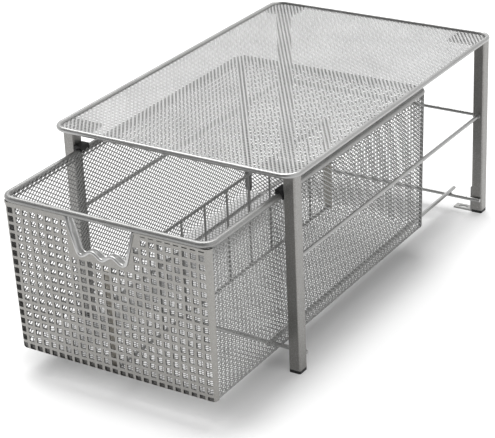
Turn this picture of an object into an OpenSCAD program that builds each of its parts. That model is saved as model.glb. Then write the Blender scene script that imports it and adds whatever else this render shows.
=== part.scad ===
// Pull-out cabinet basket: a four-legged wire stand with a mesh tray on top and
// a mesh basket that slides on two rails below it, with a wire divider inside.
// Bench frame: x = 0 on the centre line, y = 0 at the tray's front wire, z = 0 on
// the floor. The basket opens towards -y. The part is placed in its own frame last.

/* [Stand] */
// Width of the tray over its rim
tray_w = 260; // [240:1:320]
// Depth of the tray over its rim
tray_d = 405; // [380:1:480]
// Height from the floor to the top of the tray's rim
stand_h = 200; // [190:1:240]
// Wire diameter of the tray's rim
tray_wire = 5; // [4:0.5:7]
// Radius of the rim's corners, at the wire's centre
tray_corner_r = 14; // [10:1:24]
// Thickness of the tray's mesh sheet
tray_sheet = 1; // [0.8:0.1:1.6]
// Outer width of a leg, left to right
leg_w = 12; // [10:0.5:16]
// Outer depth of a leg, front to back
leg_d = 12.5; // [10:0.5:16]
// Wall of a leg's tube
leg_wall = 1.2; // [0.8:0.1:1.6]
// Outer corner radius of a leg's tube
leg_round = 1.8; // [0.6:0.1:2]
// Distance from the tray's side to a leg's outer face
leg_inset = 6; // [5:0.5:12]
// Distance from the tray's front to a front leg's front face
front_leg_inset = 11.5; // [9:0.5:20]
// Thickness of a foot cap's sole
foot_h = 3; // [2:0.5:6]
// How far a foot cap plugs into its leg
foot_plug = 12; // [8:1:20]

/* [Corner plates] */
// Thickness of a corner plate
plate_t = 1.5; // [1:0.1:2.5]
// Length of a corner plate, left to right
plate_w = 36; // [28:1:45]
// Length of a corner plate, front to back
plate_d = 30; // [26:1:40]

/* [Rails] */
// Diameter of the crossbars and rails
rod_d = 4; // [3:0.5:5]
// Height of the lower crossbars' centre
low_bar_z = 15.8; // [12:0.2:22]
// Height of the upper rear crossbar's centre
high_bar_z = 109.5; // [90:0.5:130]
// Height of the side rails' centre
side_rail_z = 110.5; // [90:0.5:130]
// Distance from a leg's inner face to a slide rail's centre
slide_rail_inset = 24; // [16:1:40]
// How far a slide rail reaches past each lower crossbar
slide_rail_over = 10; // [6:1:14]

/* [Rear brackets] */
// Thickness of a bracket
bracket_t = 1.5; // [1:0.1:2]
// Width of a bracket, front to back
bracket_w = 10; // [9:0.5:12]
// Height of a bracket's upright flange
bracket_h = 28; // [22:1:40]
// Reach of a bracket's floor tab from its leg
bracket_tab = 21; // [18:0.5:28]
// Width of the screw slot
slot_w = 4.5; // [3.5:0.1:5]
// End-to-end length of the screw slot
slot_len = 10; // [7:0.5:12]
// Distance from the slot's centre to the leg
slot_reach = 12; // [10:0.5:14]

/* [Basket] */
// Gap between the basket's rim and a leg, on each side
rim_side_gap = 1.5; // [1:0.1:4]
// Length of the basket over its rim
basket_d = 398; // [360:1:398]
// Drop from the top of the tray's rim to the centre of the basket's rim wire
rim_drop = 27; // [20:1:50]
// Wire diameter of the basket's rim
rim_wire = 6; // [5:0.5:7]
// Radius of the rim's corners, at the wire's centre
rim_corner_r = 11; // [9:1:18]
// Thickness of the basket's sheets
sheet_t = 1; // [0.8:0.1:1.5]
// How far each side wall leans in from the rim to the floor
side_lean = 2.6; // [0:0.2:6]
// How far the front panel leans in from the rim to the floor
front_lean = 2; // [0:0.2:5]
// Outer radius of the bends between the walls and the floor
floor_bend_r = 5; // [3:0.5:5]
// Outer radius of the upright corners
corner_bend_r = 5.5; // [5.5:0.5:9]
// Height of the folded hem under the rim
hem_h = 7; // [5:0.5:12]
// How far the basket is pulled out of the stand
pulled_out = 99; // [0:1:250]

/* [Front panel] */
// Distance from hole to hole
hole_pitch = 8.35; // [8:0.05:12]
// Width of a square hole
hole_w = 5.6; // [4:0.1:6]
// How far the holes' middle column and the handle sit left of the centre line
pattern_shift = 3.6; // [0:0.2:5]
// Distance from the rim's centre to the first row's centre
first_row_drop = 14; // [12:0.5:18]
// Height of the hem that covers the upper part of a further row of holes
front_hem = 3.8; // [3.5:0.1:5]
// How far round a front corner its column of holes stands, from the front
corner_hole_angle = 43; // [42:1:48]

/* [Handle cut-out] */
// Angle of the cut-out's sides from upright
grip_side_angle = 16; // [5:1:25]
// Radius of the cut-out's two lower corners
grip_corner_r = 5; // [3:0.5:8]
// Width of one finger scallop
finger_w = 21.5; // [18:0.5:24]
// Number of finger scallops
fingers = 3; // [2:1:4]
// Depth of the cut-out, from the rim's centre to a scallop's lowest point
grip_depth = 38.5; // [32:0.5:48]
// Height of the ridge between two scallops
finger_rise = 6.4; // [4:0.2:8]
// Diameter of the lip's front roll
lip_d = 3; // [2:0.5:4]
// Diameter of the lip's back roll
lip_back_d = 2.4; // [1.6:0.2:3]
// Distance from the front roll's centre to the back roll's
lip_depth = 8; // [5:0.5:12]
// Thickness of the lip between its rolls
lip_web = 1; // [0.8:0.1:1.2]

/* [Divider] */
// Height of the divider's top wire above the floor
divider_top_z = 122.5; // [80:0.5:140]
// Diameter of the divider's long wires
divider_wire = 2.8; // [2:0.2:4]
// Diameter of the divider's uprights
upright_wire = 2.2; // [1.6:0.2:3]
// Bays between the uprights
divider_bays = 10; // [6:1:14]
// Width of the flat strip at each end
strip_w = 9; // [6:0.5:14]
// Thickness of an end strip
strip_t = 1.2; // [0.8:0.1:2]

/* [Nets] */
// Bays of the tray's net, left to right
tray_net_nx = 7; // [5:1:10]
// Bays of the tray's net, front to back
tray_net_ny = 10; // [8:1:15]
// Bays of a basket net along the basket
wall_net_n = 10; // [8:1:14]
// Bays of a basket net across the basket
cross_net_n = 5; // [4:1:8]
// Bays of a basket net from the floor to the hem
up_net_n = 3; // [3:1:6]
// Width of a strand between two gaps
strand_w = 2.4; // [1.6:0.2:4]
// Width of the solid band round the tray's net
tray_band = 8; // [6:0.5:12]

/* [Guides] */
// How far a guide reaches over the basket's rim from its leg
guide_reach = 8; // [6:0.5:9]
// Height of a guide above the rim's centre
guide_up = 6; // [5:0.5:9]
// Height of a guide below the rim's centre
guide_down = 2.5; // [1:0.5:4]

/* [Clearances] */
// Between the basket and what it runs on
run_gap = 0.3; // [0.2:0.05:0.5]
// Between the basket's rim and a guide
guide_gap = 0.5; // [0.4:0.1:0.7]
// Between sheets and the wires that carry them
seat_gap = 0.1; // [0.05:0.05:0.3]
// Between a foot plug and the leg's wall
plug_gap = 0.1; // [0.05:0.05:0.3]

/* [Hidden] */
$fn = 24;

// Stand
tray_r = tray_wire / 2;
tray_a = tray_w / 2 - tray_r;            // rim centre, half width
tray_b = tray_d - tray_wire;             // rim centre, depth
tray_z = stand_h - tray_r;               // rim centre, height
sheet_z = tray_z - tray_sheet;           // underside of the tray's mesh
leg_x = tray_w / 2 - leg_inset - leg_w / 2;
leg_inner_x = leg_x - leg_w / 2;
front_leg_y = front_leg_inset - tray_r + leg_d / 2;
rear_leg_y = tray_b + tray_r - leg_d / 2;
leg_top = sheet_z - plate_t;
bar_x = leg_x + leg_w / 2 - 1;           // half length of a lower crossbar
front_bar_y = front_leg_y + leg_d / 2 + rod_d / 2;
rear_bar_y = rear_leg_y - leg_d / 2 - rod_d / 2;
slide_z = low_bar_z + rod_d;
slide_top = slide_z + rod_d / 2;
past = 1;                                // how far a cut runs past a face
steel = "silver";
dark_plastic = [0.12, 0.12, 0.12];

// Basket at its pulled-out place
rim_r = rim_wire / 2;
rim_a = leg_inner_x - rim_side_gap - rim_r;      // rim centre, half width
rim_z = stand_h - rim_drop;
front_y = -tray_r - pulled_out;          // rim centre, front
back_y = front_y + basket_d - rim_wire;  // rim centre, back
floor_z = slide_top + run_gap;           // underside of the basket
wall_top = rim_z - rim_r - seat_gap;
wall_h = wall_top - floor_z;
side_tilt = atan(side_lean / wall_h);
front_tilt = atan(front_lean / wall_h);
skin_a = rim_a + sheet_t / 2;            // outer face of a side wall at its top
skin_front = front_y - sheet_t / 2;      // outer face of the front panel at its top
skin_back = back_y + sheet_t / 2;        // outer face of the rear wall

// Holes that fit on the front panel's flat part
flat_a = skin_a - corner_bend_r - side_lean;
cols_left = floor((flat_a - hole_w / 2 - pattern_shift) / hole_pitch);
cols_right = floor((flat_a - hole_w / 2 + pattern_shift) / hole_pitch);
row_drop = first_row_drop - (rim_z - wall_top);
flat_drop = wall_h - floor_bend_r - hole_w / 2;
rows = floor((flat_drop - row_drop) / hole_pitch) + 1;

// The row above them shows only below the hem, and the row below them lies on the bend,
// where bend_arc is how far round the bend a hole reaches
slot_low = hole_pitch - row_drop - hole_w / 2;
bend_high = hole_w / 2 - row_drop - rows * hole_pitch;
bend_arc = hole_w - bend_high - (wall_h - floor_bend_r);
bend_low = floor_bend_r * (1 - sin(bend_arc / floor_bend_r * 180 / PI)) - wall_h;

// Handle cut-out: the lip's path in the panel's face, from its left end to its right
lip_r = lip_d / 2;
grip_low = -(grip_depth - (rim_z - wall_top));   // lowest point, from the panel's top
valley_x = (fingers - 1) / 2 * finger_w;
side_foot = [
    valley_x + grip_corner_r * cos(grip_side_angle),
    grip_low + grip_corner_r * (1 - sin(grip_side_angle))
];
function side_x(z) = side_foot[0] + (z - side_foot[1]) * tan(grip_side_angle);
function wave_z(x) =
    grip_low + finger_rise / 2 * (1 - cos(360 * (x + valley_x) / finger_w));
right_side = concat(
    [for (a = [-90:12:-grip_side_angle - 6]) [
        valley_x + grip_corner_r * cos(a),
        grip_low + grip_corner_r * (1 + sin(a))
    ]],
    [side_foot, [side_x(0), 0]]
);
wave_steps = 10 * (fingers - 1);
wave = [for (i = [1:wave_steps - 1])
    let (x = -valley_x + 2 * valley_x * i / wave_steps) [x, wave_z(x)]];
last_side = len(right_side) - 1;
left_side = [for (i = [last_side:-1:0]) [-right_side[i][0], right_side[i][1]]];
grip_path = concat(left_side, wave, right_side);
function grip_normal(i) =
    let (
        a = grip_path[max(i - 1, 0)],
        b = grip_path[min(i + 1, len(grip_path) - 1)],
        t = (b - a) / norm(b - a)
    ) [t[1], -t[0]];

// Divider: its ends stay clear of the floor bends' inner faces
bend_in_r = floor_bend_r - sheet_t;
bend_room = bend_in_r - sqrt(pow(bend_in_r, 2) - pow(bend_in_r - run_gap, 2));
divider_front = skin_front + sheet_t + front_lean + bend_room + run_gap;
divider_back = skin_back - sheet_t - bend_room - run_gap;
divider_low = floor_z + sheet_t + run_gap;
bay = (divider_back - divider_front) / divider_bays;

// The part's own origin is the middle of its footprint, on the floor
origin_y = (front_y - rim_r + tray_b + tray_r) / 2;

module place() {
    translate([0, -origin_y, 0]) children();
}

// ---- wires and rods ----

// A straight rod between two points that differ along one axis
module rod_x(x0, x1, y, z, d) {
    translate([x0, y, z]) rotate([0, 90, 0]) cylinder(h = x1 - x0, d = d);
}
module rod_y(y0, y1, x, z, d) {
    translate([x, y0, z]) rotate([-90, 0, 0]) cylinder(h = y1 - y0, d = d);
}

// A closed wire loop with rounded corners, flat in the plane z
module wire_loop(half_w, y0, y1, z, corner_r, d) {
    rod_x(-half_w + corner_r, half_w - corner_r, y0, z, d);
    rod_x(-half_w + corner_r, half_w - corner_r, y1, z, d);
    rod_y(y0 + corner_r, y1 - corner_r, -half_w, z, d);
    rod_y(y0 + corner_r, y1 - corner_r, half_w, z, d);
    corners = [[1, y1, 0], [-1, y1, 90], [-1, y0, 180], [1, y0, 270]];
    for (c = corners)
        translate([
            c[0] * (half_w - corner_r),
            c[1] + (c[1] == y1 ? -corner_r : corner_r),
            z
        ])
            rotate([0, 0, c[2]])
                rotate_extrude(angle = 90) translate([corner_r, 0]) circle(d = d);
}

// ---- sheets with gaps ----

// A flat net in the plane XY: w by h, with a solid band of the given margins
// [left, right, bottom, top] round a lattice of slanted strands, nx by ny bays
module net_2d(w, h, margin, nx, ny) {
    half_x = (w - margin[0] - margin[1]) / nx / 2;
    half_y = (h - margin[2] - margin[3]) / ny / 2;
    to_edge = half_x * half_y / norm([half_x, half_y]);
    open = 1 - strand_w / 2 / to_edge;
    difference() {
        square([w, h]);
        intersection() {
            translate([margin[0], margin[2]]) square([2 * nx * half_x, 2 * ny * half_y]);
            for (i = [0:2 * nx], j = [0:2 * ny])
                if (i % 2 == j % 2)
                    translate([margin[0] + i * half_x, margin[2] + j * half_y])
                        polygon(open * [[-half_x, 0], [0, -half_y], [half_x, 0], [0, half_y]]);
        }
    }
}

// ---- stand ----

module tray_rim() {
    color(steel) wire_loop(tray_a, 0, tray_b, tray_z, tray_corner_r, tray_wire);
}

// The outline that fits inside the tray's rim
module inside_tray_2d() {
    w = tray_a - tray_r - seat_gap;
    y0 = tray_r + seat_gap;
    y1 = tray_b - tray_r - seat_gap;
    r = tray_corner_r - tray_r - seat_gap;
    translate([-w, y0 + r]) square([2 * w, y1 - y0 - 2 * r]);
    translate([-w + r, y0]) square([2 * w - 2 * r, y1 - y0]);
    for (x = [-w + r, w - r], y = [y0 + r, y1 - r])
        translate([x, y]) circle(r = r);
}

module tray_mesh() {
    margin = [tray_band, tray_band, tray_band, tray_band];
    color("lightgray") translate([0, 0, sheet_z]) linear_extrude(tray_sheet)
        intersection() {
            inside_tray_2d();
            translate([-tray_a, 0])
                net_2d(2 * tray_a, tray_b, margin, tray_net_nx, tray_net_ny);
        }
}

// Four plates on the legs' tops, under the tray's mesh
module corner_plates() {
    color(steel) translate([0, 0, leg_top]) linear_extrude(plate_t)
        intersection() {
            inside_tray_2d();
            for (x = [-tray_a, tray_a - plate_w], y = [0, tray_b - plate_d])
                translate([x, y]) square([plate_w, plate_d]);
        }
}

module tube_2d(w, d, r) {
    square([w - 2 * r, d], center = true);
    square([w, d - 2 * r], center = true);
    for (x = [-1, 1], y = [-1, 1])
        translate([x * (w / 2 - r), y * (d / 2 - r)]) circle(r = r);
}

// A square tube from its foot's sole to its corner plate
module leg(x, y) {
    color(steel) translate([x, y, foot_h]) linear_extrude(leg_top - foot_h)
        difference() {
            tube_2d(leg_w, leg_d, leg_round);
            square([leg_w - 2 * leg_wall, leg_d - 2 * leg_wall], center = true);
        }
}

// A sole as wide as the leg with a plug that sits in the tube
module foot(x, y) {
    inner_w = leg_w - 2 * leg_wall - 2 * plug_gap;
    inner_d = leg_d - 2 * leg_wall - 2 * plug_gap;
    color(dark_plastic) translate([x, y, 0]) {
        linear_extrude(foot_h) tube_2d(leg_w, leg_d, leg_round);
        linear_extrude(foot_h + foot_plug)
            square([inner_w, inner_d], center = true);
    }
}

module side_rail(side) {
    y0 = front_leg_y + leg_d / 2;
    y1 = rear_leg_y - leg_d / 2;
    color(steel) rod_y(y0, y1, side * leg_x, side_rail_z, rod_d);
}

module lower_crossbar(y) {
    color(steel) rod_x(-bar_x, bar_x, y, low_bar_z, rod_d);
}

module upper_crossbar() {
    color(steel) rod_x(-leg_inner_x, leg_inner_x, rear_leg_y, high_bar_z, rod_d);
}

// A rail with round ends, lying on both lower crossbars
module slide_rail(side) {
    x = side * (leg_inner_x - slide_rail_inset);
    y0 = front_bar_y - slide_rail_over;
    y1 = rear_bar_y + slide_rail_over;
    color(steel) {
        rod_y(y0, y1, x, slide_z, rod_d);
        for (y = [y0, y1]) translate([x, y, slide_z]) sphere(d = rod_d);
    }
}

// An L of flat bar: its flange on the leg's inner face, its slotted tab on the floor
module rear_bracket(side) {
    slot_r = slot_w / 2;
    color(steel) translate([side * leg_inner_x, rear_leg_y, 0])
        mirror([side > 0 ? 1 : 0, 0, 0])
            difference() {
                union() {
                    translate([0, -bracket_w / 2, 0]) cube([bracket_t, bracket_w, bracket_h]);
                    translate([0, -bracket_w / 2, 0]) cube([bracket_tab, bracket_w, bracket_t]);
                }
                for (end = [-1, 1])
                    translate([slot_reach + end * (slot_len / 2 - slot_r), 0, -past])
                        cylinder(h = bracket_t + 2 * past, r = slot_r);
                translate([slot_reach - slot_len / 2 + slot_r, -slot_r, -past])
                    cube([slot_len - slot_w, slot_w, bracket_t + 2 * past]);
            }
}

// A block on the front leg that covers the top and outside of the basket's rim
module guide(side) {
    groove_r = rim_r + guide_gap;
    color(dark_plastic) mirror([side < 0 ? 1 : 0, 0, 0])
        translate([0, front_leg_y + leg_d / 2, 0]) rotate([90, 0, 0])
            linear_extrude(leg_d) difference() {
                translate([leg_inner_x - guide_reach, rim_z - guide_down])
                    square([guide_reach, guide_up + guide_down]);
                translate([rim_a, rim_z]) circle(r = groove_r);
                translate([leg_inner_x - guide_reach - past, rim_z - guide_down - past])
                    square([
                        rim_a + groove_r - leg_inner_x + guide_reach + past,
                        guide_down + past
                    ]);
            }
}

// ---- basket ----

module basket_rim() {
    color(steel) wire_loop(rim_a, front_y, back_y, rim_z, rim_corner_r, rim_wire);
}

// A quarter ring between an upright sheet and the floor, about [floor_bend_r, 0]
module bend_2d() {
    translate([floor_bend_r, 0]) intersection() {
        difference() {
            circle(r = floor_bend_r);
            circle(r = floor_bend_r - sheet_t);
        }
        translate([-floor_bend_r, -floor_bend_r]) square(floor_bend_r);
    }
}

// A wall that leans in towards +Y, with a quarter bend of width w along its foot.
// Its 2D child is its flat face, drawn upright with its top at 0.
module bent_wall(w, tilt) {
    rotate([tilt, 0, 0]) {
        translate([0, sheet_t, 0]) rotate([90, 0, 0]) linear_extrude(sheet_t) children();
        translate([-w / 2, 0, floor_bend_r - wall_h]) rotate([90, 0, 90])
            linear_extrude(w) bend_2d();
    }
}

// A wall's flat face: top0 and top1 are its ends at the top, foot0 and foot1 at the foot
module face_2d(top0, top1, foot0, foot1) {
    low = floor_bend_r - wall_h;
    polygon([[foot0, low], [foot1, low], [top1, 0], [top0, 0]]);
}

// A wall's net, inside its face, with the hem solid
module wall_net_2d(top0, top1, foot0, foot1, nx) {
    low = floor_bend_r - wall_h;
    edge = strand_w;
    intersection() {
        face_2d(top0, top1, foot0, foot1);
        translate([foot0, low])
            net_2d(foot1 - foot0, -low, [edge, edge, edge, hem_h], nx, up_net_n);
    }
    difference() {
        face_2d(top0, top1, foot0, foot1);
        translate([foot0, low - past]) square([foot1 - foot0, 2 * past - low]);
    }
}

// The cut-out under the rim, grown so that the lip's front roll fits its edge
module grip_2d() {
    grow = lip_r + seat_gap;
    edge = [for (i = [0:len(grip_path) - 1]) grip_path[i] + grow * grip_normal(i)];
    top = side_x(0) + grow;
    polygon(concat([[-top, lip_d]], edge, [[top, lip_d]]));
}

// Whether a hole centred at x, z is clear of the cut-out
function clear_of_grip(x, z) =
    let (reach = lip_d + hole_w / 2)
    abs(x) > side_x(max(z, side_foot[1])) + reach || z < grip_low - reach;

module panel_holes_2d() {
    for (col = [-cols_left:cols_right], row = [0:rows - 1]) {
        x = col * hole_pitch;
        z = -row_drop - row * hole_pitch;
        if (clear_of_grip(x, z)) translate([x, z]) square(hole_w, center = true);
    }
    if (slot_low < -front_hem)
        for (col = [-cols_left:cols_right])
            if (clear_of_grip(col * hole_pitch, 0))
                translate([col * hole_pitch - hole_w / 2, slot_low])
                    square([hole_w, -front_hem - slot_low]);
}

// The row on the bend, cut from the front
module bend_holes() {
    if (bend_arc < floor_bend_r)
        rotate([front_tilt, 0, 0]) for (col = [-cols_left:cols_right])
            translate([col * hole_pitch - pattern_shift - hole_w / 2, -past, bend_low])
                cube([hole_w, floor_bend_r + past, bend_high - bend_low]);
}

// A column of holes down a front corner, about the corner's own centre
module corner_holes() {
    for (row = [0:rows - 1])
        translate([0, 0, -row_drop - row * hole_pitch]) rotate([0, 0, corner_hole_angle - 90])
            translate([0, -hole_w / 2, -hole_w / 2])
                cube([corner_bend_r + past, hole_w, hole_w]);
}

module front_panel() {
    top = skin_a - corner_bend_r - seat_gap;
    foot = top - side_lean;
    color([0.6, 0.6, 0.58]) translate([0, skin_front, wall_top]) difference() {
        bent_wall(2 * foot, front_tilt)
            difference() {
                face_2d(-top, top, -foot, foot);
                translate([-pattern_shift, 0]) {
                    grip_2d();
                    panel_holes_2d();
                }
            }
        bend_holes();
    }
}

// The lip's section: a front roll at 0 and a back roll behind it, joined by a web.
// Each point is [how far across the lip, how far back].
function roll_points(r, centre, first) =
    let (open = asin(lip_web / 2 / r), step = (360 - 2 * open) / 8)
    [for (k = [0:8]) let (a = first + open + k * step) [r * sin(a), centre + r * cos(a)]];
lip_section = concat(roll_points(lip_r, 0, 0), roll_points(lip_back_d / 2, lip_depth, 180));

// The lip round the cut-out: its section swept along grip_path
module handle_lip() {
    sides = len(lip_section);
    n = len(grip_path);
    points = [for (i = [0:n - 1], k = [0:sides - 1])
        let (across = lip_section[k][0] * grip_normal(i))
        [grip_path[i][0] + across[0], lip_section[k][1], grip_path[i][1] + across[1]]];
    walls = [for (i = [0:n - 2], k = [0:sides - 1])
        let (next = (k + 1) % sides)
        each [
            [i * sides + k, i * sides + next, (i + 1) * sides + k],
            [i * sides + next, (i + 1) * sides + next, (i + 1) * sides + k]
        ]];
    caps = [
        [for (k = [sides - 1:-1:0]) k],
        [for (k = [0:sides - 1]) (n - 1) * sides + k]
    ];
    color(steel) translate([-pattern_shift, skin_front, wall_top]) rotate([front_tilt, 0, 0])
        translate([0, sheet_t / 2, 0]) polyhedron(points, concat(walls, caps));
}

// An upright corner that turns in to the floor at its foot, as one revolved skin.
// It stands in the quarter x > 0, y < 0 about its own centre.
module corner_skin() {
    rotate([0, 0, -90]) rotate_extrude(angle = 90) {
        translate([corner_bend_r - sheet_t, floor_bend_r - wall_h])
            square([sheet_t, wall_h - floor_bend_r]);
        translate([corner_bend_r, floor_bend_r - wall_h]) mirror([1, 0]) bend_2d();
    }
}

// The front panel's holes run on round its left corner and stop short of its right one
module front_corner(side) {
    color(steel) mirror([side < 0 ? 1 : 0, 0, 0])
        translate([skin_a - corner_bend_r, skin_front + corner_bend_r, wall_top])
            rotate([front_tilt, side_tilt, 0]) difference() {
                corner_skin();
                if (side < 0) corner_holes();
            }
}

module rear_corner(side) {
    color(steel) mirror([side < 0 ? 1 : 0, 0, 0])
        translate([skin_a - corner_bend_r, skin_back - corner_bend_r, wall_top])
            rotate([0, side_tilt, 0]) mirror([0, 1, 0]) corner_skin();
}

// A side wall, drawn for the left side and mirrored for the right
module side_mesh(side) {
    front = skin_front + corner_bend_r + seat_gap;
    back = skin_back - corner_bend_r - seat_gap;
    middle = (front + front_lean + back) / 2;
    foot = (back - front - front_lean) / 2;
    color("lightgray") mirror([side > 0 ? 1 : 0, 0, 0])
        translate([-skin_a, middle, wall_top]) rotate([0, 0, -90])
            bent_wall(2 * foot, side_tilt)
                wall_net_2d(-foot, foot + front_lean, -foot, foot, wall_net_n);
}

module rear_mesh() {
    top = skin_a - corner_bend_r - seat_gap;
    foot = top - side_lean;
    color("lightgray") translate([0, skin_back, wall_top]) rotate([0, 0, 180])
        bent_wall(2 * foot, 0)
            wall_net_2d(-top, top, -foot, foot, cross_net_n);
}

module floor_mesh() {
    half = skin_a - side_lean - floor_bend_r - seat_gap;
    front = skin_front + front_lean + floor_bend_r + seat_gap;
    back = skin_back - floor_bend_r - seat_gap;
    cut = corner_bend_r - floor_bend_r;
    edge = strand_w + cut;
    color("lightgray") translate([-half, front, floor_z]) linear_extrude(sheet_t)
        difference() {
            net_2d(2 * half, back - front, [edge, edge, edge, edge], cross_net_n, wall_net_n);
            for (x = [0, 2 * half], y = [0, back - front])
                translate([x, y]) rotate(45) square(cut, center = true);
        }
}

// ---- divider ----

module divider_frame() {
    long_r = divider_wire / 2;
    y0 = divider_front + strip_t;
    y1 = divider_back - strip_t;
    top = divider_top_z - long_r;
    low = divider_low + long_r;
    color(steel) translate([-pattern_shift, 0, 0]) {
        rod_y(y0, y1, 0, top, divider_wire);
        rod_y(y0, y1, 0, low, divider_wire);
        for (i = [1:divider_bays - 1])
            translate([0, divider_front + i * bay, low])
                cylinder(h = top - low, d = upright_wire);
    }
}

module divider_strip(y) {
    color(steel) translate([-pattern_shift - strip_w / 2, y, divider_low])
        cube([strip_w, strip_t, divider_top_z - divider_low]);
}

// ---- nodes ----

place() tray_rim();
place() tray_mesh();
place() corner_plates();
place() leg(-leg_x, front_leg_y);  // front_left_leg
place() leg(leg_x, front_leg_y);  // front_right_leg
place() leg(-leg_x, rear_leg_y);  // rear_left_leg
place() leg(leg_x, rear_leg_y);  // rear_right_leg
place() foot(-leg_x, front_leg_y);  // front_left_foot
place() foot(leg_x, front_leg_y);  // front_right_foot
place() foot(-leg_x, rear_leg_y);  // rear_left_foot
place() foot(leg_x, rear_leg_y);  // rear_right_foot
place() side_rail(-1);  // left_side_rail
place() side_rail(1);  // right_side_rail
place() upper_crossbar();  // upper_rear_crossbar
place() lower_crossbar(rear_bar_y);  // lower_rear_crossbar
place() lower_crossbar(front_bar_y);  // lower_front_crossbar
place() slide_rail(-1);  // left_slide_rail
place() slide_rail(1);  // right_slide_rail
place() rear_bracket(-1);  // left_rear_bracket
place() rear_bracket(1);  // right_rear_bracket
place() guide(-1);  // left_guide
place() guide(1);  // right_guide
place() basket_rim();
place() front_panel();
place() handle_lip();
place() front_corner(-1);  // front_left_corner
place() front_corner(1);  // front_right_corner
place() rear_corner(-1);  // rear_left_corner
place() rear_corner(1);  // rear_right_corner
place() side_mesh(-1);  // left_mesh
place() side_mesh(1);  // right_mesh
place() rear_mesh();
place() floor_mesh();
place() divider_frame();
place() divider_strip(divider_front);  // divider_front_strip
place() divider_strip(divider_back - strip_t);  // divider_rear_strip
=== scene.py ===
import math

import bmesh
import bpy
from mathutils import Matrix, Vector, noise


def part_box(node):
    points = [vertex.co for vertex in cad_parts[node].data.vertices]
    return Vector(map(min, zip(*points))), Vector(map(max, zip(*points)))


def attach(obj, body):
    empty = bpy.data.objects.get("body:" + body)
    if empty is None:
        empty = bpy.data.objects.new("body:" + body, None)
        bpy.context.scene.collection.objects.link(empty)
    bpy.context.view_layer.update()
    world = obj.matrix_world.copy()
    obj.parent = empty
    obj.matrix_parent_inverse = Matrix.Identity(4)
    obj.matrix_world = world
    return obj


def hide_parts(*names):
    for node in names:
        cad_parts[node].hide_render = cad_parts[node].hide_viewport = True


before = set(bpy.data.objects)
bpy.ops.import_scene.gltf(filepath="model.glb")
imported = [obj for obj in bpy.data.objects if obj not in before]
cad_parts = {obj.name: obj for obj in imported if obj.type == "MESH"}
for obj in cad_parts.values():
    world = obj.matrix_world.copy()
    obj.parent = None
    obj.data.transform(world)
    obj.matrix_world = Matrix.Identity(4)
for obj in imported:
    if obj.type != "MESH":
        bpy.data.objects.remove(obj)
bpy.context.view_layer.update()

samePlace = 1e-6  # metres: points closer than this count as one


# small helpers for meshes and node trees

def finishPiece(name, mesh, body, material, replaced=()):
    data = bpy.data.meshes.new(name)
    mesh.to_mesh(data)
    mesh.free()
    piece = bpy.data.objects.new(name, data)
    bpy.context.scene.collection.objects.link(piece)
    data.materials.append(material)
    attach(piece, body)
    if replaced:
        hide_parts(*replaced)
    return piece


def addWall(piece, thickness, offset=0):
    wall = piece.modifiers.new("thickness", "SOLIDIFY")
    wall.thickness = thickness
    wall.offset = offset
    return wall


def cutAcross(sheet, place, outward, dropOutside=False):
    everything = sheet.verts[:] + sheet.edges[:] + sheet.faces[:]
    bmesh.ops.bisect_plane(sheet, geom=everything, dist=samePlace, plane_co=place, plane_no=outward,
                           clear_outer=dropOutside)


def trim(sheet, place, outward):
    cutAcross(sheet, place, outward, dropOutside=True)


def dropLoosePoints(sheet):
    loose = [v for v in sheet.verts if not v.link_faces]
    bmesh.ops.delete(sheet, geom=loose, context="VERTS")


def smoothStep(low, high, value):
    t = min(max((value - low) / (high - low), 0), 1)
    return t * t * (3 - 2 * t)


def addNode(tree, kind, values=None, **settings):
    # a value is a number, a vector, a colour or another node's output
    made = tree.nodes.new(kind)
    for name, value in settings.items():
        setattr(made, name, value)
    for socket, value in (values or {}).items():
        if isinstance(value, bpy.types.NodeSocket):
            tree.links.new(value, made.inputs[socket])
        else:
            made.inputs[socket].default_value = value
    return made


def addTexture(tree, kind, size, values):
    # size is the output that holds the size of a feature in metres
    place = addNode(tree, "ShaderNodeTexCoord")
    scale = addNode(tree, "ShaderNodeMath", {0: 1.0, 1: size}, operation="DIVIDE")
    values = {"Vector": place.outputs["Object"], "Scale": scale.outputs[0], **values}
    return addNode(tree, kind, values)


def newGroup(name, inputs, outputs):
    group = bpy.data.node_groups.new(name, "ShaderNodeTree")
    for label, kind, value in inputs:
        socket = group.interface.new_socket(label, in_out="INPUT", socket_type=kind)
        socket.default_value = value
    for label, kind in outputs:
        group.interface.new_socket(label, in_out="OUTPUT", socket_type=kind)
    return group, group.nodes.new("NodeGroupInput"), group.nodes.new("NodeGroupOutput")


# shader groups: the sprayed coat's flecks, clouds and peel, and the worn edges

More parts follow.
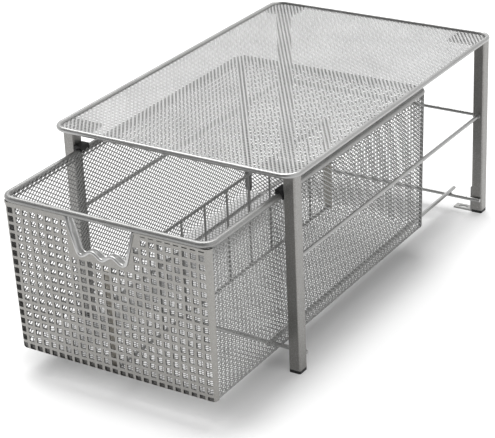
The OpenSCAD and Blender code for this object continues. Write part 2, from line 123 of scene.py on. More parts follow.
def makeSprayedCoat():
    number, colour = "NodeSocketFloat", "NodeSocketColor"
    tree, given, result = newGroup("sprayedCoat", [
        ("Coat", colour, (0.3, 0.3, 0.3, 1)),
        ("Fleck", colour, (0.8, 0.8, 0.8, 1)),
        ("Fleck Size", number, 0.0004),
        ("Fleck Amount", number, 0.2),
        ("Cloud Size", number, 0.03),
        ("Cloud Amount", number, 0.15),
        ("Roughness", number, 0.4),
        ("Peel Size", number, 0.0012),
    ], [("Color", colour), ("Roughness", number), ("Height", number)])
    link = tree.links.new
    value = given.outputs

    flecks = addTexture(tree, "ShaderNodeTexVoronoi", value["Fleck Size"], {"Randomness": 1.0})
    pick = addNode(tree, "ShaderNodeSeparateColor", {0: flecks.outputs["Color"]})
    bright = addNode(tree, "ShaderNodeMapRange",
                     {"Value": pick.outputs[0], "From Min": 0.55, "From Max": 1.0})
    fleckMask = addNode(tree, "ShaderNodeMath", {0: bright.outputs[0], 1: value["Fleck Amount"]},
                        operation="MULTIPLY")

    clouds = addTexture(tree, "ShaderNodeTexNoise", value["Cloud Size"],
                        {"Detail": 4.0, "Roughness": 0.55})
    drift = addNode(tree, "ShaderNodeMath", {0: clouds.outputs["Fac"], 1: 0.5}, operation="SUBTRACT")
    shade = addNode(tree, "ShaderNodeMath", {0: drift.outputs[0], 1: value["Cloud Amount"], 2: 1.0},
                    operation="MULTIPLY_ADD")
    clouded = addNode(tree, "ShaderNodeVectorMath", {0: value["Coat"], "Scale": shade.outputs[0]},
                      operation="SCALE")
    flecked = addNode(tree, "ShaderNodeMix", {
        "Factor": fleckMask.outputs[0], 6: clouded.outputs[0], 7: value["Fleck"],
    }, data_type="RGBA")
    link(flecked.outputs[2], result.inputs["Color"])

    rougher = addNode(tree, "ShaderNodeMath", {0: drift.outputs[0], 1: 0.25, 2: value["Roughness"]},
                      operation="MULTIPLY_ADD")
    link(rougher.outputs[0], result.inputs["Roughness"])
    peel = addTexture(tree, "ShaderNodeTexNoise", value["Peel Size"], {"Detail": 2.0})
    link(peel.outputs["Fac"], result.inputs["Height"])
    return tree


def makeEdgeWear():
    number = "NodeSocketFloat"
    tree, given, result = newGroup("edgeWear", [
        ("Reach", number, 0.0006),
        ("Patch Size", number, 0.006),
        ("Amount", number, 0.5),
    ], [("Mask", number)])
    surface = addNode(tree, "ShaderNodeNewGeometry")
    softened = addNode(tree, "ShaderNodeBevel", {"Radius": given.outputs["Reach"]}, samples=4)
    agree = addNode(tree, "ShaderNodeVectorMath",
                    {0: surface.outputs["Normal"], 1: softened.outputs[0]}, operation="DOT_PRODUCT")
    edge = addNode(tree, "ShaderNodeMapRange",
                   {"Value": agree.outputs["Value"], "From Min": 0.999, "From Max": 0.86})
    patches = addTexture(tree, "ShaderNodeTexNoise", given.outputs["Patch Size"], {"Detail": 5.0})
    broken = addNode(tree, "ShaderNodeMapRange",
                     {"Value": patches.outputs["Fac"], "From Min": 0.35, "From Max": 0.65})
    worn = addNode(tree, "ShaderNodeMath", {0: edge.outputs[0], 1: broken.outputs[0]},
                   operation="MULTIPLY")
    level = addNode(tree, "ShaderNodeMath", {0: worn.outputs[0], 1: given.outputs["Amount"]},
                    operation="MULTIPLY")
    tree.links.new(level.outputs[0], result.inputs["Mask"])
    return tree


sprayedCoat = makeSprayedCoat()
edgeWear = makeEdgeWear()


def makeFinish(name, look):
    made = bpy.data.materials.new(name)
    made.use_nodes = True
    tree = made.node_tree
    link = tree.links.new
    shader = tree.nodes["Principled BSDF"]
    shader.inputs["Metallic"].default_value = look["metallic"]
    shader.inputs["Specular IOR Level"].default_value = look["specular"]
    fleck = (*look["fleck"], 1)
    values = {"Coat": (*look["coat"], 1), "Fleck": fleck}
    for label in ("Fleck Size", "Fleck Amount", "Cloud Size", "Cloud Amount", "Roughness", "Peel Size"):
        values[label] = look[label]
    coat = addNode(tree, "ShaderNodeGroup", values, node_tree=sprayedCoat)
    colour = coat.outputs["Color"]
    if look["wear"]:
        wear = addNode(tree, "ShaderNodeGroup", {"Amount": look["wear"]}, node_tree=edgeWear)
        rubbed = addNode(tree, "ShaderNodeMix", {"Factor": wear.outputs["Mask"], 6: colour, 7: fleck},
                         data_type="RGBA")
        colour = rubbed.outputs[2]
    link(colour, shader.inputs["Base Color"])
    link(coat.outputs["Roughness"], shader.inputs["Roughness"])
    bump = addNode(tree, "ShaderNodeBump", {
        "Strength": look["bump"], "Distance": look["bumpDepth"], "Height": coat.outputs["Height"],
    })
    link(bump.outputs[0], shader.inputs["Normal"])
    return made


silverLook = {
    "coat": (0.275, 0.275, 0.27), "fleck": (0.72, 0.72, 0.71), "metallic": 0.7, "specular": 0.5,
    "Fleck Size": 0.0005, "Fleck Amount": 0.22, "Cloud Size": 0.035, "Cloud Amount": 0.25,
    "Roughness": 0.38, "Peel Size": 0.0014, "bump": 0.25, "bumpDepth": 0.0001, "wear": 0.5,
}


def makeSilver(name, **changes):
    return makeFinish(name, {**silverLook, **changes})


silverCoat = makeSilver("silverCoat")
rodCoat = makeSilver("rodCoat", coat=(0.38, 0.38, 0.375), metallic=0.8, Roughness=0.3)
legCoat = makeSilver("legCoat", coat=(0.25, 0.245, 0.235), metallic=0.85, Roughness=0.33)
# about twice as light as the panel: painted highlight on the grip's rolls
paintedLightLipCoat = makeSilver("paintedLightLipCoat", coat=(0.6, 0.6, 0.595), wear=0.3)
netCoat = makeSilver("netCoat", coat=(0.34, 0.34, 0.335), wear=0)
# lighter than the walls' net: painted light on the tray's top
paintedLightTrayCoat = makeSilver("paintedLightTrayCoat", coat=(0.4, 0.4, 0.398), wear=0)
# far lighter than the silver: painted light on the corner plates, which the tray's net shades
paintedLightPlateCoat = makeSilver("paintedLightPlateCoat", coat=(0.9, 0.9, 0.89), metallic=0.15, wear=0)
panelCoat = makeSilver("panelCoat", coat=(0.315, 0.307, 0.29), wear=0.3)
# near black: painted shade, on the holes' walls and on strips put where only shade lies
paintedShadeCoat = makeSilver("paintedShadeCoat", coat=(0.06, 0.058, 0.054), metallic=0.3, wear=0)
# pale: painted light on the divider's strips, which sit in shade behind the front
paintedLightStripCoat = makeSilver("paintedLightStripCoat", coat=(0.8, 0.76, 0.69), metallic=0.2, wear=0)
blackPlastic = makeFinish("blackPlastic", {
    "coat": (0.012, 0.012, 0.013), "fleck": (0.05, 0.05, 0.05), "metallic": 0.0, "specular": 0.4,
    "Fleck Size": 0.0008, "Fleck Amount": 0.3, "Cloud Size": 0.01, "Cloud Amount": 0.3,
    "Roughness": 0.55, "Peel Size": 0.0008, "bump": 0.5, "bumpDepth": 0.0001, "wear": 0.4,
})
print("materials made")


# camera, floor and light

cameraView = {
    "place": (0.8301, -1.3047, 0.8005), "yaw": 32.965, "pitch": 25.297, "roll": -2.572,
    "lens": 127.28, "sensor": 36, "farthest": 50,
}


def aimCamera():
    turn = (Matrix.Rotation(math.radians(cameraView["yaw"]), 4, "Z")
            @ Matrix.Rotation(math.radians(90 - cameraView["pitch"]), 4, "X")
            @ Matrix.Rotation(math.radians(cameraView["roll"]), 4, "Z"))
    data = bpy.data.cameras.new("camera")
    data.lens = cameraView["lens"]
    data.sensor_width = cameraView["sensor"]
    data.clip_end = cameraView["farthest"]
    camera = bpy.data.objects.new("camera", data)
    camera.matrix_world = Matrix.Translation(cameraView["place"]) @ turn
    bpy.context.scene.collection.objects.link(camera)
    bpy.context.scene.camera = camera


studio = {
    "sky": 0.22, "floorColour": 0.8, "floorRoughness": 0.9, "floorSize": 8,
    "glow": (0.06, 0.56),  # the paper's own light: low along the box's edge, which paints a shadow ring there, and high away from it
    "footprint": (0.09, 0.212),  # half the width and depth of a box; a shadow is painted along its edge, over the real one
    "paintedShadowReach": (0.03, 0.075),  # how far inside and outside its edge the paper is white again; the white inside is painted light under the stand
    "darkSide": (0.35, -0.92, -0.15),  # where the room behind the camera is dim
    "darkening": (-0.35, 0.75),  # cosines of the angles to it at which the fading starts and ends
    "dimmest": 0.12,
    "lamps": [  # name, strength, softness in degrees, tilt from upright, turned towards
        ("keyLamp", 2.4, 50, 26, 222),
        ("sideLamp", 0.6, 60, 65, 75),
    ],
}


def rayMask(tree, *rays):
    path = addNode(tree, "ShaderNodeLightPath")
    total = path.outputs[rays[0]]
    for ray in rays[1:]:
        more = addNode(tree, "ShaderNodeMath", {0: total, 1: path.outputs[ray]}, operation="MAXIMUM")
        total = more.outputs[0]
    return total


def makeWorld():
    world = bpy.data.worlds.new("studio")
    bpy.context.scene.world = world
    world.use_nodes = True
    tree = world.node_tree
    sky = tree.nodes["Background"]
    sky.inputs["Color"].default_value = (1, 1, 1, 1)
    # metal mirrors the white backdrop, fading to the dim room behind the camera
    place = addNode(tree, "ShaderNodeTexCoord")
    facing = addNode(tree, "ShaderNodeVectorMath", {
        0: place.outputs["Generated"], 1: Vector(studio["darkSide"]).normalized(),
    }, operation="DOT_PRODUCT")
    mirrored = addNode(tree, "ShaderNodeMapRange", {
        "Value": facing.outputs["Value"],
        "From Min": studio["darkening"][0], "From Max": studio["darkening"][1],
        "To Min": 1.0, "To Max": studio["dimmest"],
    }, interpolation_type="SMOOTHSTEP")
    unlit = addNode(tree, "ShaderNodeMix", {
        "Factor": rayMask(tree, "Is Glossy Ray", "Is Transmission Ray"),
        2: studio["sky"], 3: mirrored.outputs[0],
    })
    level = addNode(tree, "ShaderNodeMix", {
        "Factor": rayMask(tree, "Is Camera Ray"), 2: unlit.outputs[0], 3: 1.0,
    })
    tree.links.new(level.outputs[0], sky.inputs["Strength"])


def makePaper():
    paper = bpy.data.materials.new("floorPaper")
    paper.use_nodes = True
    tree = paper.node_tree
    shader = tree.nodes["Principled BSDF"]
    whiteness = studio["floorColour"]
    shader.inputs["Base Color"].default_value = (whiteness, whiteness, whiteness, 1)
    shader.inputs["Roughness"].default_value = studio["floorRoughness"]
    shader.inputs["Specular IOR Level"].default_value = 0.0
    shader.inputs["Emission Color"].default_value = (1, 1, 1, 1)
    # the paper is seen white away from the box's edge, on both sides of it; its dip along the edge is a
    # painted shadow, and the white inside is painted light under the stand
    place = addNode(tree, "ShaderNodeTexCoord")
    folded = addNode(tree, "ShaderNodeVectorMath", {0: place.outputs["Object"]}, operation="ABSOLUTE")
    beyond = addNode(tree, "ShaderNodeVectorMath", {0: folded.outputs[0], 1: (*studio["footprint"], 0)},
                     operation="SUBTRACT")
    outside = addNode(tree, "ShaderNodeVectorMath", {0: beyond.outputs[0], 1: (0, 0, 0)},
                      operation="MAXIMUM")
    away = addNode(tree, "ShaderNodeVectorMath", {0: outside.outputs[0]}, operation="LENGTH")
    sides = addNode(tree, "ShaderNodeSeparateXYZ", {0: beyond.outputs[0]})
    within = addNode(tree, "ShaderNodeMath", {0: sides.outputs[0], 1: sides.outputs[1]},
                     operation="MAXIMUM")
    inward, outward = studio["paintedShadowReach"]
    levels = []
    for distance, reach in ((within.outputs[0], -inward), (away.outputs["Value"], outward)):
        level = addNode(tree, "ShaderNodeMapRange", {
            "Value": distance, "From Max": reach,
            "To Min": studio["glow"][0], "To Max": studio["glow"][1],
        }, interpolation_type="SMOOTHSTEP")
        levels.append(level.outputs[0])
    lighter = addNode(tree, "ShaderNodeMath", {0: levels[0], 1: levels[1]}, operation="MAXIMUM")
    glow = addNode(tree, "ShaderNodeMath", {
        0: rayMask(tree, "Is Camera Ray", "Is Glossy Ray", "Is Transmission Ray"),
        1: lighter.outputs[0],
    }, operation="MULTIPLY")
    tree.links.new(glow.outputs[0], shader.inputs["Emission Strength"])
    return paper


def layFloor():
    grid = bmesh.new()
    bmesh.ops.create_grid(grid, x_segments=4, y_segments=4, size=studio["floorSize"] / 2)
    data = bpy.data.meshes.new("floor")
    grid.to_mesh(data)
    grid.free()
    data.materials.append(makePaper())
    floor = bpy.data.objects.new("floor", data)
    bpy.context.scene.collection.objects.link(floor)


def hangLamps():
    for name, strength, softness, tilt, heading in studio["lamps"]:
        data = bpy.data.lights.new(name, "SUN")
        data.energy = strength
        data.angle = math.radians(softness)
        lamp = bpy.data.objects.new(name, data)
        lamp.matrix_world = (Matrix.Rotation(math.radians(heading), 4, "Z")
                             @ Matrix.Rotation(math.radians(tilt), 4, "X"))
        bpy.context.scene.collection.objects.link(lamp)


aimCamera()
makeWorld()
layFloor()
hangLamps()
bpy.context.scene.view_settings.view_transform = "Standard"
print("camera, floor and light made")


# the nets: sheets of open diamonds; each wall's net folds round under it

net = {
    "strand": 0.00064, "trayStrand": 0.0015, "thickness": 0.0005,
    "knuckle": 0.88,  # the openings' length as a share of what the strands leave
    "tilt": 0.00035,  # how far an opening's corners on its short way lie above and below the sheet
    "trayCell": (0.0042, 0.0062), "floorCell": (0.0042, 0.0062), "wallCell": (0.00633, 0.00437),
    "trayCorner": 0.0114, "trayCornerCuts": (15, 45, 75),  # radius, and degrees round each corner
    "bendRadius": 0.005, "sheet": 0.001,  # the bend's outer radius and the sheet of the solids
    "sideLean": 0.0026, "frontLean": 0.002,  # over the wall's height
    "lapIn": 0.0034, "lapFrom": 0.166, "lapFull": 0.1705, "lapTop": 0.1748,  # the step in under the rim
}


def bendLength(radius):
    # a quarter turn of this outer radius, along the middle of the sheet
    return (radius - net["sheet"] / 2) * math.pi / 2


def diamondSheet(size, cell, strand):
    # flat and flush with the axes from (0, 0) to size; every strand leans like a louvre
    count = [round(size[i] / cell[i]) for i in (0, 1)]
    pitch = [size[i] / count[i] for i in (0, 1)]
    longWay = 0 if pitch[0] > pitch[1] else 1
    shortWay = 1 - longWay
    turns = count[0] + count[1] + 2
    sheet = bmesh.new()
    bmesh.ops.create_grid(sheet, x_segments=turns, y_segments=turns, size=turns / 2)
    lattice = Matrix((
        (pitch[0] / 2, -pitch[0] / 2, 0, size[0] / 2),
        (pitch[1] / 2, pitch[1] / 2, 0, size[1] / 2),
        (0, 0, 1, 0),
        (0, 0, 0, 1),
    ))
    bmesh.ops.transform(sheet, matrix=lattice, verts=sheet.verts[:])
    outside = []
    for face in sheet.faces:
        centre = face.calc_center_median()
        if any(not -pitch[i] < centre[i] < size[i] + pitch[i] for i in (0, 1)):
            outside.append(face)
    bmesh.ops.delete(sheet, geom=outside, context="FACES")
    holes = sheet.faces[:]
    bmesh.ops.inset_individual(sheet, faces=holes, thickness=strand / 2, use_even_offset=True)
    for hole in holes:
        centre = hole.calc_center_median()
        for corner in hole.verts:
            corner.co[longWay] = centre[longWay] + (corner.co[longWay] - centre[longWay]) * net["knuckle"]
            corner.co.z -= net["tilt"] * (corner.co[shortWay] - centre[shortWay]) / pitch[shortWay] * 2
    bmesh.ops.delete(sheet, geom=holes, context="FACES_ONLY")
    return sheet


def flatNet(node, cell, strand):
    # an open sheet at half the node's height, cut to its sides
    low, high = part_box(node)
    sheet = diamondSheet((high.x - low.x, high.y - low.y), cell, strand)
    bmesh.ops.translate(sheet, verts=sheet.verts[:], vec=(low.x, low.y, (low.z + high.z) / 2))
    for outward, edge in (((-1, 0, 0), low), ((0, -1, 0), low), ((1, 0, 0), high), ((0, 1, 0), high)):
        trim(sheet, edge, outward)
    return sheet


def makeNet(name, sheet, body, node, coat=netCoat):
    dropLoosePoints(sheet)
    piece = finishPiece(name, sheet, body, coat, [node])
    addWall(piece, net["thickness"])
    print(name, len(piece.data.polygons), "faces")


def makeTrayNet():
    sheet = flatNet("tray_mesh", net["trayCell"], net["trayStrand"])
    low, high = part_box("tray_mesh")
    middle, radius = (low + high) / 2, net["trayCorner"]
    for sideX in (-1, 1):
        for sideY in (-1, 1):
            centre = Vector((
                middle.x + sideX * ((high.x - low.x) / 2 - radius),
                middle.y + sideY * ((high.y - low.y) / 2 - radius),
                middle.z,
            ))
            for degrees in net["trayCornerCuts"]:
                angle = math.radians(degrees)
                outward = Vector((sideX * math.cos(angle), sideY * math.sin(angle), 0))
                trim(sheet, centre + outward * radius, outward)
    makeNet("tray_net", sheet, "stand", "tray_mesh", paintedLightTrayCoat)


def makeFloorNet():
    sheet = flatNet("floor_mesh", net["floorCell"], net["strand"])
    makeNet("floor_net", sheet, "basket", "floor_mesh")


def foldWall(sheet, skin, floor, top, lean):
    # from a flat sheet (x along the wall, y up it, z outwards) to a wall that faces +Y
    outer = net["bendRadius"]
    middle = outer - net["sheet"] / 2
    arc = bendLength(outer)
    leanTurn = Matrix.Rotation(-math.atan(lean / (top - floor)), 4, "X")
    hinge = Matrix.Translation((0, skin, top))
    for v in sheet.verts:
        along, up, out = v.co
        if up < arc:
            angle = up / middle
            distance = middle + out
            y = skin - outer + distance * math.sin(angle)
            z = floor + outer - distance * math.cos(angle)
        else:
            y = skin - net["sheet"] / 2 + out
            z = floor + outer + up - arc
            y -= net["lapIn"] * smoothStep(net["lapFrom"], net["lapFull"], z)
        v.co = (along, y, z)
    bmesh.ops.transform(sheet, matrix=hinge @ leanTurn @ hinge.inverted(), verts=sheet.verts[:])


def makeWallNet(name, node, length, skin, lean, ends, turn, shift):
    # ends says how far each end leans in over the wall's height
    floor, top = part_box("floor_mesh")[0].z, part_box(node)[1].z
    height = bendLength(net["bendRadius"]) + net["lapTop"] - floor - net["bendRadius"]
    sheet = diamondSheet((length, height), net["wallCell"], net["strand"])
    trim(sheet, (0, 0, 0), (0, -1, 0))
    trim(sheet, (0, height, 0), (0, 1, 0))
    trim(sheet, (0, height, 0), (-height, -ends[0], 0))
    trim(sheet, (length, height, 0), (height, -ends[1], 0))
    foldWall(sheet, skin, floor, top, lean)
    place = Matrix.Translation(shift) @ Matrix.Rotation(math.radians(turn), 4, "Z")
    bmesh.ops.transform(sheet, matrix=place, verts=sheet.verts[:])
    makeNet(name, sheet, "basket", node)


def makeBasketNets():
    low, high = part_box("left_mesh")
    length, skin = high.y - low.y, -low.x
    side, face = net["sideLean"], net["frontLean"]
    # drawn facing +Y, then turned a quarter: the left wall starts at the front, the right at the rear
    makeWallNet("left_net", "left_mesh", length, skin, side, (face, 0), 90, (0, low.y, 0))
    makeWallNet("right_net", "right_mesh", length, skin, side, (0, face), -90, (0, high.y, 0))
    low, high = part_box("rear_mesh")
    makeWallNet("rear_net", "rear_mesh", high.x - low.x, high.y, 0, (side, side), 0, (low.x, 0, 0))


makeTrayNet()
makeFloorNet()
makeBasketNets()
print("nets made")


# the front: one perforated sheet that turns round both corners and under the floor

front = {
    "pitch": (0.00835, 0.0085), "hole": 0.0057, "rounding": 0.0005, "middleColumn": -0.0003,
    "firstRow": 0.0084, "rowSlope": -0.008, "columns": 12, "rows": 17,  # columns to each side
    "thickness": 0.0013, "offset": -0.4,
    "flat": 0.1025, "taper": 0.0026, "cornerRadius": 0.0055, "bendRadius": 0.003, "facets": 8,
    "hem": 0.002, "hemOut": 0.0008, "hemBack": 0.0038, "hemEnd": 0.115, "hemThickness": 0.0005,
    "foot": 0.0066, "footOut": -0.0012,
    "edgeInset": 0.0016, "edgeStart": 0.0045, "edgeDepth": 0.0068,
}
grip = {
    "middle": -0.0036, "depth": 0.0354, "finger": 0.0215, "cornerRadius": 0.005, "sideAngle": 16,
    "rise": 0.0055, "underLip": 0.0008, "reach": 0.0052, "cornerSteps": 8, "fingerSteps": 24,
}


def frontPlace():
    # the skin's Y, and the heights of the top and the floor
    low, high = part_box("front_panel")
    return low.y, high.z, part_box("floor_mesh")[0].z


def gripSide(z):
    lean = math.radians(grip["sideAngle"])
    footX = grip["finger"] + grip["cornerRadius"] * math.cos(lean)
    footZ = -grip["depth"] + grip["cornerRadius"] * (1 - math.sin(lean))
    return footX + (max(z, footZ) - footZ) * math.tan(lean)


def gripOutline():
    # down the left side, along the finger scallops and up the right side:
    # each point with its direction away from the opening
    valley, low, radius = grip["finger"], -grip["depth"], grip["cornerRadius"]
    turn = math.radians(90 - grip["sideAngle"])
    right = []
    for i in range(grip["cornerSteps"] + 1):
        angle = -math.pi / 2 + turn * i / grip["cornerSteps"]
        right.append(Vector((valley + radius * math.cos(angle), low + radius * (1 + math.sin(angle)))))
    right.append(Vector((gripSide(0), 0)))
    left = [Vector((-point.x, point.y)) for point in reversed(right)]
    wave = []
    for i in range(1, grip["fingerSteps"]):
        x = valley * (2 * i / grip["fingerSteps"] - 1)
        wave.append(Vector((x, low + grip["rise"] / 2 * (1 - math.cos(math.tau * (x + valley) / valley)))))
    path = left + wave + right
    outline = []
    for i, point in enumerate(path):
        along = (path[min(i + 1, len(path) - 1)] - path[max(i - 1, 0)]).normalized()
        outline.append((point + Vector((grip["middle"], 0)), Vector((along.y, -along.x))))
    return outline


def holeCell(point):
    column = round((point.x - front["middleColumn"]) / front["pitch"][0])
    down = -point.y + front["rowSlope"] * (point.x - front["middleColumn"])
    return column, round((down - front["firstRow"]) / front["pitch"][1])


def isOpen(column, row):
    x = abs(front["middleColumn"] + column * front["pitch"][0] - grip["middle"])
    z = -front["firstRow"] - row * front["pitch"][1]
    inPattern = abs(column) <= front["columns"] and row < front["rows"]
    return inPattern and (x > gripSide(z) + grip["reach"] or z < -grip["depth"] - grip["reach"])


def punchedSheet():
    # flat: x across, y up from the top edge at 0; faces over holes carry a mark
    columns, rows = 2 * front["columns"] + 3, front["rows"] + 2  # with a plain cell beyond each end
    sheet = bmesh.new()
    bmesh.ops.create_grid(sheet, x_segments=columns, y_segments=rows, size=0.5)
    width, height = columns * front["pitch"][0], rows * front["pitch"][1]
    middleRow = front["firstRow"] + (rows - 3) / 2 * front["pitch"][1]
    lattice = Matrix((
        (width, 0, 0, front["middleColumn"]),
        (front["rowSlope"] * width, height, 0, -middleRow),
        (0, 0, 1, 0),
        (0, 0, 0, 1),
    ))
    bmesh.ops.transform(sheet, matrix=lattice, verts=sheet.verts[:])
    holes = sheet.faces[:]
    rib = (sum(front["pitch"]) / 2 - front["hole"]) / 2
    bmesh.ops.inset_individual(sheet, faces=holes, thickness=rib, use_even_offset=True)
    corners = list(dict.fromkeys(v for hole in holes for v in hole.verts))
    bmesh.ops.bevel(sheet, geom=corners, offset=front["rounding"], offset_type="OFFSET", affect="VERTICES",
                    segments=2, profile=0.5, material=-1)
    mark = sheet.faces.layers.int.new("hole")
    for face in sheet.faces:
        face[mark] = len(face.verts) == 12  # a hole has three points at each rounded corner
    trim(sheet, (0, 0, 0), (0, 1, 0))
    return sheet, mark


def cutGrip(sheet, mark):
    # the cells that the grip touches are taken out and filled again up to its outline
    outline = [point + outward * grip["underLip"] for point, outward in gripOutline()]
    outline[0].y = outline[-1].y = 0
    low = min(point.y for point in outline)
    columns = [holeCell(Vector((end.x, 0)))[0] for end in (outline[0], outline[-1])]
    lastRow = holeCell(Vector((0, low)))[1]
    block = []
    for face in sheet.faces:
        column, row = holeCell(face.calc_center_median())
        if columns[0] <= column <= columns[1] and row <= lastRow:
            block.append(face)
    inside = set(block)
    border = {}  # the edges of the block and of its open holes, in the order that they are met
    for face in block:
        isHole = face[mark] and isOpen(*holeCell(face.calc_center_median()))
        for edge in face.edges:
            if isHole or any(f not in inside for f in edge.link_faces):
                border[edge] = True
    topPoints = [v for edge in border for v in edge.verts if abs(v.co.y) < samePlace]
    topPoints.sort(key=lambda v: v.co.x)
    bmesh.ops.delete(sheet, geom=block, context="FACES_ONLY")
    spare = [edge for edge in sheet.edges if not edge.link_faces and edge not in border]
    bmesh.ops.delete(sheet, geom=spare, context="EDGES")
    drawn = [sheet.verts.new((point.x, point.y, 0)) for point in outline]
    chain = [topPoints[0], *drawn, topPoints[-1]]
    fill = list(border) + [sheet.edges.new(pair) for pair in zip(chain, chain[1:])]
    bmesh.ops.triangle_fill(sheet, use_beauty=True, edges=fill, normal=(0, 0, 1))
    return outline[0].x, outline[-1].x


def cutForFoot(sheet, height):
    bend = bendLength(front["bendRadius"])
    start = front["bendRadius"] - height
    for i in range(front["facets"]):
        cutAcross(sheet, (0, start - bend * i / front["facets"], 0), (0, 1, 0))
    trim(sheet, (0, start - bend, 0), (0, -1, 0))


def cutForBends(sheet, height):
    slant = front["taper"] / height
    bend = bendLength(front["cornerRadius"])
    for side in (-1, 1):
        outward = Vector((side, -slant, 0))
        for i in range(front["facets"]):
            cutAcross(sheet, (side * (front["flat"] + bend * i / front["facets"]), 0, 0), outward)
        trim(sheet, (side * (front["flat"] + bend), 0, 0), outward)


def foldFront(sheet, skin, top, floor):
    # the flat sheet's foot turns under, and its sides turn back round the corners
    height = top - floor
    flatDrop = height - front["bendRadius"]
    cornerRadius, bendRadius = (front[key] - net["sheet"] / 2 for key in ("cornerRadius", "bendRadius"))
    for v in sheet.verts:
        across, up, out = v.co
        under = max(0, -up - flatDrop) / bendRadius
        drop = min(-up, flatDrop) + (bendRadius + out) * math.sin(under)
        inward = bendRadius * (1 - math.cos(under)) - out * math.cos(under)
        bendLine = front["flat"] + front["taper"] * up / height
        turn = max(0, abs(across) - bendLine) / cornerRadius
        radius = cornerRadius - inward
        x = across
        if turn > 0:
            x = math.copysign(bendLine + radius * math.sin(turn), across)
        y = skin + front["cornerRadius"] - cornerRadius + inward + radius * (1 - math.cos(turn))
        v.co = (x, y + net["frontLean"] * drop / height, top - drop)


def makeFrontSheet():
    # gives back the X of the grip's two ends at the top
    skin, top, floor = frontPlace()
    sheet, mark = punchedSheet()
    gripEnds = cutGrip(sheet, mark)
    cutAcross(sheet, (0, -front["hem"], 0), (0, 1, 0))
    holes = []
    for face in sheet.faces:
        centre = face.calc_center_median()
        if face[mark] and isOpen(*holeCell(centre)) and centre.y < -front["hem"]:
            holes.append(face)
    bmesh.ops.delete(sheet, geom=holes, context="FACES_ONLY")
    cutForFoot(sheet, top - floor)
    cutForBends(sheet, top - floor)
    foldFront(sheet, skin, top, floor)
    dropLoosePoints(sheet)
    piece = finishPiece("front_sheet", sheet, "basket", panelCoat,
                        ["front_panel", "front_left_corner", "front_right_corner"])
    wall = addWall(piece, front["thickness"], front["offset"])
    wall.material_offset_rim = 1  # the cut edges take the second coat, near black: painted shade on the holes' walls
    piece.data.materials.append(paintedShadeCoat)
    print("front_sheet", len(piece.data.polygons), "faces")
    return gripEnds


def addStrip(strips, left, right, head, foot, out):
    corners = bmesh.ops.create_grid(strips, x_segments=1, y_segments=1, size=0.5)["verts"]
    stretch = Matrix.Diagonal((right - left, head - foot, 1, 1))
    middle = Matrix.Translation(((left + right) / 2, (head + foot) / 2, out))
    bmesh.ops.transform(strips, matrix=middle @ stretch, verts=corners)


def finishStrips(name, strips, coat):
    skin, top, floor = frontPlace()
    cutForFoot(strips, top - floor)
    cutForBends(strips, top - floor)
    foldFront(strips, skin, top, floor)
    piece = finishPiece(name, strips, "basket", coat)
    addWall(piece, front["hemThickness"])


def makeHem(gripLeft, gripRight):
    # folded over the sheet's top on both sides of the grip
    hem = bmesh.new()
    for left, right in ((-front["hemEnd"], gripLeft), (gripRight, front["hemEnd"])):
        addStrip(hem, left, right, 0, -front["hem"], front["hemOut"])
        addStrip(hem, left, right, 0, -front["hemBack"], -front["hemOut"])
    finishStrips("front_hem", hem, panelCoat)


def makePaintedShadeStrips():
    # the floor's edge, turned up behind the sheet's foot; its near-black coat is painted shade
    skin, top, floor = frontPlace()
    height = top - floor
    edge = bmesh.new()
    addStrip(edge, -front["flat"], front["flat"], front["foot"] - height, -height, front["footOut"])
    finishStrips("floor_edge_painted_shade", edge, paintedShadeCoat)
    # and the left wall's edge behind its corner, near black too: painted shade
    edge = bmesh.new()
    corners = bmesh.ops.create_grid(edge, x_segments=1, y_segments=1, size=0.5)["verts"]
    x = front["flat"] - front["taper"] / 2 + front["cornerRadius"] - front["edgeInset"]
    upright = Matrix((
        (0, -front["taper"], 0, -x),
        (front["edgeDepth"], 0, 0, skin + front["edgeStart"] + front["edgeDepth"] / 2),
        (0, height - front["foot"], 0, (top + floor + front["foot"]) / 2),
        (0, 0, 0, 1),
    ))
    bmesh.ops.transform(edge, matrix=upright, verts=corners)
    piece = finishPiece("left_wall_edge_painted_shade", edge, "basket", paintedShadeCoat)
    addWall(piece, front["hemThickness"])


# the grip's lip: a strip with a roll along each edge and a trough between them

lip = {
    "frontRoll": 0.0014, "backRoll": 0.0013, "depth": 0.0062, "trough": 0.0024, "slope": 0.0003,
    "thickness": 0.0004, "turns": (30, 265), "rollSteps": 8,
}


def lipProfile():
    # away from the opening, and back into the basket
    first, last = (math.radians(angle) for angle in lip["turns"])
    angles = [first + (last - first) * i / lip["rollSteps"] for i in range(lip["rollSteps"] + 1)]
    near, far = lip["frontRoll"], lip["backRoll"]
    profile = [(near * math.cos(angle), -near * math.sin(angle)) for angle in angles]
    profile.append((lip["trough"], near + lip["slope"]))
    profile.append((lip["trough"], lip["depth"] - far - lip["slope"]))
    for angle in reversed(angles):
        profile.append((far * math.cos(angle), lip["depth"] + far * math.sin(angle)))
    return profile


def makeLip():
    skin, top, floor = frontPlace()
    path, profile = gripOutline(), lipProfile()
    steps, ribs = len(path) - 1, len(profile) - 1
    strip = bmesh.new()
    bmesh.ops.create_grid(strip, x_segments=steps, y_segments=ribs, size=0.5)
    for v in strip.verts:
        point, outward = path[round((v.co.x + 0.5) * steps)]
        away, back = profile[round((v.co.y + 0.5) * ribs)]
        place = point + outward * away
        y = skin + net["sheet"] / 2 + back - net["frontLean"] * place.y / (top - floor)
        v.co = (place.x, y, top + place.y)
    for face in strip.faces:
        face.smooth = True
    piece = finishPiece("grip_lip", strip, "basket", paintedLightLipCoat, ["handle_lip"])
    addWall(piece, lip["thickness"])


makeHem(*makeFrontSheet())
makePaintedShadeStrips()
makeLip()
print("front made")


# weld beads: lumpy rings round the rods' ends, and flatter ones where two rods or wires cross

weld = {
    "rodBead": 0.0024, "crossBead": 0.0016, "crossFlat": 0.7,
    "wireBead": 0.0013, "wireFlat": 0.8, "wireInset": 0.0028, "uprights": 9,
    "section": 0.3,  # of the ring, as a share of its radius
    "lump": 0.00025, "lumpScale": 900, "seed": 7,
}
noise.seed_set(weld["seed"])


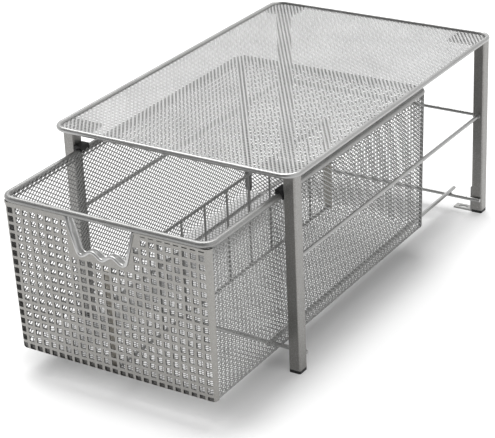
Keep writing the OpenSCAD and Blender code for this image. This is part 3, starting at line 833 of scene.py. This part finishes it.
def beadTemplate():
    ring = bmesh.new()
    profile = bmesh.ops.create_circle(ring, cap_ends=False, segments=6, radius=weld["section"])["verts"]
    bmesh.ops.rotate(ring, verts=profile, matrix=Matrix.Rotation(math.pi / 2, 3, "X"))
    bmesh.ops.translate(ring, verts=profile, vec=(1, 0, 0))
    bmesh.ops.spin(ring, geom=ring.verts[:] + ring.edges[:], cent=(0, 0, 0), axis=(0, 0, 1),
                   angle=math.tau, steps=14, use_merge=True)
    bmesh.ops.recalc_face_normals(ring, faces=ring.faces[:])
    data = bpy.data.meshes.new("beadTemplate")
    ring.to_mesh(data)
    ring.free()
    return data


bead = beadTemplate()


def addBead(beads, place, axis, radius, flat=1.0):
    before = len(beads.verts)
    beads.from_mesh(bead)
    beads.verts.ensure_lookup_table()
    fresh = beads.verts[before:]
    turn = Vector(axis).to_track_quat("Z", "Y").to_matrix().to_4x4()
    size = Matrix.Diagonal((radius, radius, radius * flat, 1))
    bmesh.ops.transform(beads, matrix=Matrix.Translation(place) @ turn @ size, verts=fresh)
    for v in fresh:
        v.co += noise.noise_vector(v.co * weld["lumpScale"]) * weld["lump"]


def makeStandWelds():
    beads = bmesh.new()
    for side in ("left", "right"):
        low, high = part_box(side + "_side_rail")
        x, z = (low.x + high.x) / 2, (low.z + high.z) / 2
        for y in (low.y, high.y):
            addBead(beads, (x, y, z), (0, 1, 0), weld["rodBead"])
    low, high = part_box("upper_rear_crossbar")
    y, z = (low.y + high.y) / 2, (low.z + high.z) / 2
    for x in (low.x, high.x):
        addBead(beads, (x, y, z), (1, 0, 0), weld["rodBead"])
    for bar in ("lower_front_crossbar", "lower_rear_crossbar"):
        low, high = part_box(bar)
        y = (low.y + high.y) / 2
        for side in ("left", "right"):
            railLow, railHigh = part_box(side + "_slide_rail")
            place = ((railLow.x + railHigh.x) / 2, y, high.z)
            addBead(beads, place, (0, 0, 1), weld["crossBead"], weld["crossFlat"])
    finishPiece("stand_welds", beads, "stand", silverCoat)


def makeDividerWelds():
    beads = bmesh.new()
    low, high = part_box("divider_frame")
    start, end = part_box("divider_front_strip")[0].y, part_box("divider_rear_strip")[1].y
    x = (low.x + high.x) / 2
    for i in range(weld["uprights"]):
        y = start + (end - start) * (i + 1) / (weld["uprights"] + 1)
        for z in (low.z + weld["wireInset"], high.z - weld["wireInset"]):
            addBead(beads, (x, y, z), (0, 0, 1), weld["wireBead"], weld["wireFlat"])
    finishPiece("divider_welds", beads, "divider", silverCoat)


makeStandWelds()
makeDividerWelds()
print("welds made")


# CAD nodes that stay get their finishes, by how their names end; the rest are silver

# the divider's strips and the corner plates take pale coats: painted light where the panel and the tray's
# net shade them
nodeCoats = {
    "_foot": blackPlastic, "_guide": blackPlastic, "_leg": legCoat, "_strip": paintedLightStripCoat,
    "_rail": rodCoat, "_crossbar": rodCoat, "tray_rim": rodCoat, "corner_plates": paintedLightPlateCoat,
}


def dressNodes():
    for name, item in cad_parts.items():
        fitting = [coat for ending, coat in nodeCoats.items() if name.endswith(ending)]
        item.data.materials.clear()
        item.data.materials.append(fitting[0] if fitting else silverCoat)


dressNodes()
print("nodes dressed")
